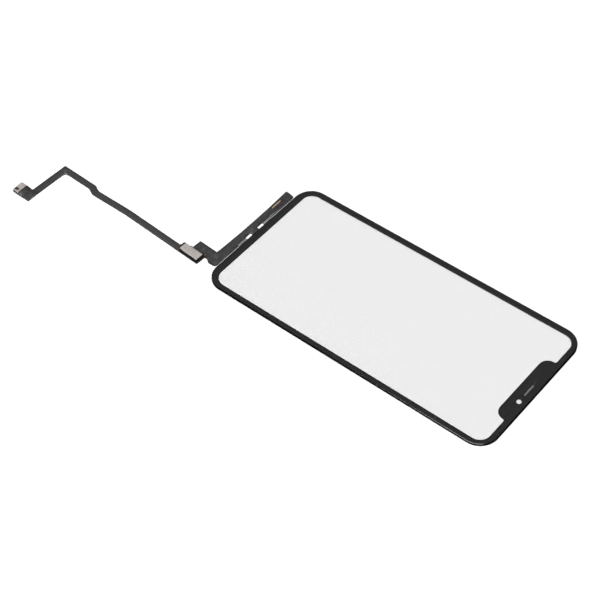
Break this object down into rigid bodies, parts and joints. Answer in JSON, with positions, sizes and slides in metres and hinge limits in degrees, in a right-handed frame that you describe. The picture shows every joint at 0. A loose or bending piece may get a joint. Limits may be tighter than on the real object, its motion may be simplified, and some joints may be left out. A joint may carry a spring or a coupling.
{
  "type": "phone touch screen panel",
  "caption": "Flat notched phone touch panel: clear cover glass with a black border on a thin frame ring, and a narrow flexible circuit tail with flat connectors.",
  "frame": {"origin": "centre of the touch sensor's back face, where a display is bonded", "axes": "+Z out of the screen, +Y to the notch end, +X to the right when the screen is looked at"},
  "size_m": [0.0805, 0.2448, 0.0021],
  "materials": {
    "clear_glass": "polished",
    "clear_film": "clear gloss",
    "black_ink": "satin black print",
    "black_tape": "matte",
    "black_plastic": "fine matte",
    "fine_mesh": "dull",
    "circuit_film": "satin cover film",
    "bond_resin": "cured resin",
    "board_plate": "matte laminate",
    "bare_steel": "rolled, bare",
    "gold_plate": "gold plated"
  },
  "bodies": {
    "root": {"cover_glass": "clear_glass", "border_mask": "black_ink", "optical_adhesive": "clear_film", "sensor_film": "clear_film", "frame_adhesive": "black_tape", "rim_frame": "black_plastic", "mesh_tape": "black_tape", "earpiece_mesh": "fine_mesh", "bond_film": "bond_resin", "main_flex": "circuit_film", "ground_pad": "gold_plate", "foot_stiffener": "bare_steel", "plug_housing": "black_plastic", "receptacle_housing": "black_plastic", "head_stiffener": "board_plate", "tail_flex": "circuit_film", "end_stiffener": "bare_steel", "end_plug_housing": "black_plastic", "end_contact_01": "gold_plate", "end_contact_02": "gold_plate", "end_contact_03": "gold_plate", "end_contact_04": "gold_plate", "end_contact_05": "gold_plate", "end_contact_06": "gold_plate", "end_contact_07": "gold_plate", "end_contact_08": "gold_plate", "end_contact_09": "gold_plate", "end_contact_10": "gold_plate", "end_contact_11": "gold_plate", "end_contact_12": "gold_plate", "end_hold_down_left": "gold_plate", "end_hold_down_right": "gold_plate"}
  },
  "joints": []
}
